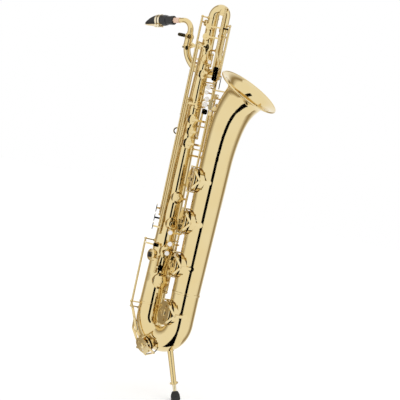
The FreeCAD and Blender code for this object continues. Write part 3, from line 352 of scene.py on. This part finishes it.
def make_camera():
    target = at(73.5, 0, 334.3)
    toward = view_vector(VIEW_AZIMUTH, VIEW_ELEVATION)
    data = bpy.data.cameras.new("camera")
    data.sensor_width = SENSOR
    data.lens = SENSOR * VIEW_DISTANCE / VIEW_HEIGHT
    data.clip_end = 60.0
    camera = bpy.data.objects.new("camera", data)
    bpy.context.scene.collection.objects.link(camera)
    z = toward
    x = UP.cross(z).normalized()
    y = z.cross(x)
    basis = Matrix((x, y, z)).transposed().to_4x4()
    roll = Matrix.Rotation(math.radians(VIEW_ROLL), 4, "Z")
    camera.matrix_world = Matrix.Translation(target + toward * VIEW_DISTANCE) @ basis @ roll
    bpy.context.scene.camera = camera
    bpy.context.scene.view_settings.view_transform = "Standard"


# ---------------------------------------------------------------- fitted pieces: pads, pearls, felts, screws
WALL_FOOT = (16.0, 36.0)        # height and outer radius of the main tube's foot
WALL_TOP = (850.0, 15.7)
CHIMNEY, BELL_CHIMNEY, PAD_GAP = 5.0, 3.0, 0.5
BELL_FOOT = (72.0, 114.4, 39.4)     # height, axis x and radius of the bell's foot
BELL_KNEE = (440.0, 120.0, 44.0)
PAD_DEPTH = 2.15                # recess of a key cup over its seat
HEAD_R, HEAD_HEIGHT = 2.5, 1.5   # slotted screw heads
STEEL_END = 3.0                 # hinge rods stand this far out of their last posts

MAIN_CUPS = {
    "d_key": (-41.0, 84.0, 22.5), "e_key": (-41.0, 170.0, 20.0), "f_key": (-41.0, 251.0, 19.0),
    "f_sharp_key": (-43.0, 328.0, 17.5), "g_key": (-46.0, 487.0, 16.0), "g_sharp_key": (-40.0, 521.5, 14.0),
    "a_key": (-46.0, 556.0, 15.0), "b_key": (-48.0, 688.0, 13.0), "c_key": (-42.0, 732.0, 14.5),
    "low_e_flat_key": (-104.0, 152.0, 17.0), "side_b_flat_key": (-35.0, 600.0, 12.0),
    "side_c_key": (-52.0, 766.0, 11.5), "high_e_key": (-175.0, 838.0, 9.5),
    "palm_d_key": (-75.0, 796.0, 10.5), "palm_e_flat_key": (-70.0, 826.0, 9.5),
}
BELL_CUPS = {"low_a_key": (-125.0, 390.0), "low_b_flat_key": (-125.0, 269.0), "low_b_key": (-125.0, 143.0),
             "low_c_sharp_key": (-114.0, 6.0)}
BELL_CUP_R, LOW_C_R = 35.0, 27.5
GUARD_RISE, LOW_C_GUARD_RISE = 14.8, 16.6
OPEN_KEYS = {"d_key", "e_key", "f_key", "f_sharp_key", "g_key", "a_key", "b_key", "c_key",
             "low_a_key", "low_b_flat_key", "low_b_key", "low_c_sharp_key", "low_c_key"}
PEARLS = {"d_key": [(5.5, 62, 168.5, 7.2)], "e_key": [(8.5, 62, 196, 7.2)], "f_key": [(2.5, 61, 228, 7.2)],
          "g_key": [(24.5, 50, 604, 7.2)], "b_key": [(24, 45, 655, 7.2)],
          "a_key": [(28, 47, 620, 7.2), (24, 44, 639, 5.6)], "c_key": [(12, 40, 725, 6.2)]}


def flat(angle):
    return Vector((math.cos(math.radians(angle)), math.sin(math.radians(angle)), 0))


def at_rest(key):
    """Turn that brings a point of a pressed key to where it stands at rest."""
    if key not in OPEN_KEYS:
        return Matrix()
    joint = next(j for j in frame["record"]["behaviour"]["joints"] if j["child"] == key)
    pivot = Matrix.Translation(Vector(joint["pos_m"]))
    return pivot @ Matrix.Rotation(-math.radians(joint["range_deg"][1]), 4, Vector(joint["axis"])) @ pivot.inverted()


def fitted(name, mesh, body, material, matrix=None):
    """Put a mesh in the scene riding on a body of the record."""
    mesh.materials.append(MATERIALS[material])
    obj = bpy.data.objects.new(name, mesh)
    bpy.context.scene.collection.objects.link(obj)
    if matrix:
        mesh.transform(matrix)
    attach(obj, body)
    return obj


def frame_of(axis):
    z = Vector(axis).normalized()
    helper = Vector((0, 0, 1)) if abs(z.z) < 0.9 else Vector((1, 0, 0))
    x = (helper - z * helper.dot(z)).normalized()
    return x, z.cross(x), z


def turned(name, profile, origin, axis, segments=56):
    """Mesh of revolution from (radius, height) in mm; sharp corners are marked, the rest is smooth."""
    x, y, z = frame_of(axis)
    bm = bmesh.new()
    rings = []
    for r, h in profile:
        if r < 1e-6:
            rings.append([bm.verts.new(origin + z * (h * MM))])
            continue
        ring = []
        for i in range(segments):
            a = 2 * math.pi * i / segments
            ring.append(bm.verts.new(origin + (x * math.cos(a) + y * math.sin(a)) * (r * MM) + z * (h * MM)))
        rings.append(ring)
    for low, high in zip(rings, rings[1:]):
        for i in range(segments):
            j = (i + 1) % segments
            corners = []
            for v in (low[i % len(low)], low[j % len(low)], high[j % len(high)], high[i % len(high)]):
                if v not in corners:
                    corners.append(v)
            if len(corners) > 2:
                bm.faces.new(corners)
    bmesh.ops.recalc_face_normals(bm, faces=bm.faces)
    mesh = bpy.data.meshes.new(name)
    for face in bm.faces:
        face.smooth = True
    bm.to_mesh(mesh)
    bm.free()
    mesh.set_sharp_from_angle(angle=math.radians(40))
    return mesh


def rounded(r, bottom, top, edge):
    """Profile of a disc with rounded rims."""
    points = [(0.0, bottom)]
    for k in range(5):
        a = math.pi / 2 * k / 4
        points.append((r - edge + edge * math.sin(a), bottom + edge - edge * math.cos(a)))
    for k in range(5):
        a = math.pi / 2 * k / 4
        points.append((r - edge + edge * math.cos(a), top - edge + edge * math.sin(a)))
    return points + [(0.0, top)]


def seat_of(key):
    """Pad seat, outward normal and cup radius of a key, with the key pressed."""
    if key in MAIN_CUPS:
        angle, z, r = MAIN_CUPS[key]
        t = (z - WALL_FOOT[0]) / (WALL_TOP[0] - WALL_FOOT[0])
        reach = WALL_FOOT[1] + (WALL_TOP[1] - WALL_FOOT[1]) * t + CHIMNEY + PAD_GAP
        n = flat(angle)
        return place(n.x * reach, n.y * reach, z), n, r
    if key in BELL_CUPS:
        angle, z = BELL_CUPS[key]
        t = (z - BELL_FOOT[0]) / (BELL_KNEE[0] - BELL_FOOT[0])
        x = BELL_FOOT[1] + (BELL_KNEE[1] - BELL_FOOT[1]) * max(t, 0.0)
        reach = max(BELL_FOOT[2] + (BELL_KNEE[2] - BELL_FOOT[2]) * max(t, -0.2), 39.0) + BELL_CHIMNEY + PAD_GAP
        n = flat(angle)
        return place(x + n.x * reach, n.y * reach, z), n, BELL_CUP_R
    if key == "palm_f_key":
        return place(42, -16.6, 871), Vector((0, -1, 0)), 10.0
    bow_z, bow_r, turn = -20.0, 57.2, math.radians(78.0)
    away = Vector((-math.cos(turn), 0, -math.sin(turn)))
    n = (away * 0.5 + Vector((0, -0.866, 0))).normalized()
    centre = place(bow_r - bow_r * math.cos(turn), 0, bow_z - bow_r * math.sin(turn))
    return centre + n * ((37.2 + BELL_CHIMNEY + PAD_GAP) * MM), n, LOW_C_R


def make_pads():
    """Leather pad and a spun resonator in every key cup."""
    for key in [*MAIN_CUPS, *BELL_CUPS, "low_c_key", "palm_f_key"]:
        seat, n, r = seat_of(key)
        rest = at_rest(key)
        pad = turned("pad_" + key, rounded(r - 1.15, -0.25, PAD_DEPTH, 0.8), seat, n)
        fitted("pad_" + key, pad, key, "leather", rest)
        dome = [(0.0, -1.2), (r * 0.22, -1.1), (r * 0.40, -0.75), (r * 0.42, -0.55), (r * 0.42, 0.1), (0.0, 0.1)]
        fitted("resonator_" + key, turned("resonator_" + key, dome, seat, n), key, "key_brass", rest)


def make_pearls():
    for key, spots in PEARLS.items():
        rest = at_rest(key)
        for i, (across, out, z, r) in enumerate(spots):
            base = at(across, out, z) - FRONT * (1.2 * MM)
            edge = r - 0.75
            profile = [(0.0, 1.65), (edge, 1.65), (edge, 3.1), (edge - 0.25, 3.5), (edge * 0.8, 3.75)]
            profile += [(edge * 0.5, 3.6), (edge * 0.25, 3.5), (0.0, 3.45)]
            name = "pearl_%s_%d" % (key, i)
            fitted(name, turned(name, profile, base, FRONT), key, "pearl", rest)


def make_felts():
    """Felt bumper under every guard, and the block on the low E flat cup."""
    for key in [*BELL_CUPS, "low_c_key"]:
        seat, n, r = seat_of(key)
        rise = GUARD_RISE if key in BELL_CUPS else LOW_C_GUARD_RISE
        felt = turned("felt_" + key, rounded(r * 0.24, rise - 1.7, rise, 0.5), seat, n)
        fitted("felt_" + key, felt, "root", "felt")
        ring = [(r * 0.24, rise + 2.0), (r * 0.30, rise + 2.0), (r * 0.30, rise + 3.4), (r * 0.26, rise + 3.9)]
        ring += [(r * 0.10, rise + 4.1), (0.0, rise + 4.1)]
        fitted("felt_screw_" + key, turned("felt_screw_" + key, [(0.0, rise + 2.0)] + ring, seat, n), "root",
               "guard_brass")
    seat, n, r = seat_of("low_e_flat_key")
    x, y, z = frame_of(n)
    bm = bmesh.new()
    bmesh.ops.create_cube(bm, size=1.0)
    bmesh.ops.scale(bm, vec=(15 * MM, 8 * MM, 5 * MM), verts=bm.verts)
    bmesh.ops.bevel(bm, geom=list(bm.edges), offset=1.0 * MM, segments=3, affect="EDGES", profile=0.5)
    mesh = bpy.data.meshes.new("e_flat_bumper")
    bm.to_mesh(mesh)
    bm.free()
    turn = Matrix((x, y, z)).transposed().to_4x4()
    lift = Matrix.Translation(seat + n * ((6.7 + r * 0.11) * MM))
    fitted("e_flat_bumper", mesh, "low_e_flat_key", "rubber", lift @ turn)


def slotted_head(name, origin, axis, r, height, body):
    """Screw head with a cut slot, built as two half heads."""
    x, y, z = frame_of(axis)
    bm = bmesh.new()
    for sign in (-1, 1):
        outline = []
        gap = r * 0.16
        for k in range(17):
            a = math.pi * k / 16
            outline.append((math.cos(a) * r, max(math.sin(a) * r, gap)))
        rings = []
        for inset, h in ((0.0, 0.0), (0.0, height * 0.7), (r * 0.18, height)):
            ring = []
            for u, v in outline:
                scale = 1.0 - inset / r
                point = origin + (x * (u * scale) + y * (sign * max(v * scale, gap)) + z * h) * MM
                ring.append(bm.verts.new(point))
            rings.append(ring)
        for low, high in zip(rings, rings[1:]):
            for i in range(len(low)):
                j = (i + 1) % len(low)
                bm.faces.new((low[i], low[j], high[j], high[i]))
        bm.faces.new(rings[-1])
        bm.faces.new(list(reversed(rings[0])))
    bmesh.ops.recalc_face_normals(bm, faces=bm.faces)
    mesh = bpy.data.meshes.new(name)
    bm.to_mesh(mesh)
    bm.free()
    fitted(name, mesh, body, "steel")


HINGES = {
    "stack_low": (43, 2, 54, 368), "stack_g": (44.8, 18.7, 474, 706), "stack_a": (51, 6, 541, 662),
    "stack_c": (31.9, -8.5, 716, 748), "g_sharp": (30.7, 4.3, 507, 597), "side_b_flat": (0, -34.5, 220, 612),
    "palm_d": (60, -12, 668, 806), "palm_e_flat": (68, -4, 684, 836), "palm_f": (56, -24, 704, 882),
    "low_a": (62, -8, 377, 650), "low_b_flat": (66, 2, 256, 592), "low_b": (69, 11, 130, 610),
    "low_c_sharp": (60, 10, -8, 628),
}


def make_screws():
    """Slotted pivot screw on both ends of the hinge rods that can be seen."""
    for name, (x, y, low, high) in HINGES.items():
        slotted_head("screw_top_" + name, place(x, y, high + STEEL_END), UP, HEAD_R, HEAD_HEIGHT, "root")
        slotted_head("screw_foot_" + name, place(x, y, low - STEEL_END), -UP, HEAD_R, HEAD_HEIGHT, "root")


def make_rollers():
    """Pale rollers between the left hand's table touches."""
    for name, key, across, z, length in (("low_b_flat_roller", "low_b_flat_key", 50.0, 589.6, 8.5),
                                         ("g_sharp_roller", "g_sharp_key", 30.5, 593.2, 7.0)):
        start = at(across - length / 2, 54.2, z)
        profile = [(0.0, 0.0), (1.2, 0.0), (1.5, 0.3), (1.65, length / 2)]
        profile += [(1.5, length - 0.3), (1.2, length), (0.0, length)]
        fitted(name, turned(name, profile, start, ACROSS, 24), key, "pearl", at_rest(key))


def spring(name, a, b, r, body):
    """Needle spring: a thin tapering wire."""
    reach = (b - a).length / MM
    profile = [(0.0, 0.0), (r, 0.0), (r * 0.9, reach * 0.6), (r * 0.4, reach), (0.0, reach)]
    fitted(name, turned(name, profile, a, b - a, 10), body, "steel")


def make_springs():
    for name in ("stack_low", "stack_g", "stack_a", "palm_d", "low_a", "low_b_flat", "low_b", "low_c_sharp"):
        x, y, low, high = HINGES[name]
        inward = Vector((x, y, 0)).normalized() * -4.2
        a = place(x + inward.x, y + inward.y, low + 1.0)
        b = place(x + inward.x * 0.92, y + inward.y * 0.92, low + 34.0)
        spring("spring_" + name, a, b, 0.45, "root")


make_camera()
make_stage()
dress_nodes()
make_pads()
make_pearls()
make_felts()
make_screws()
make_rollers()
make_springs()
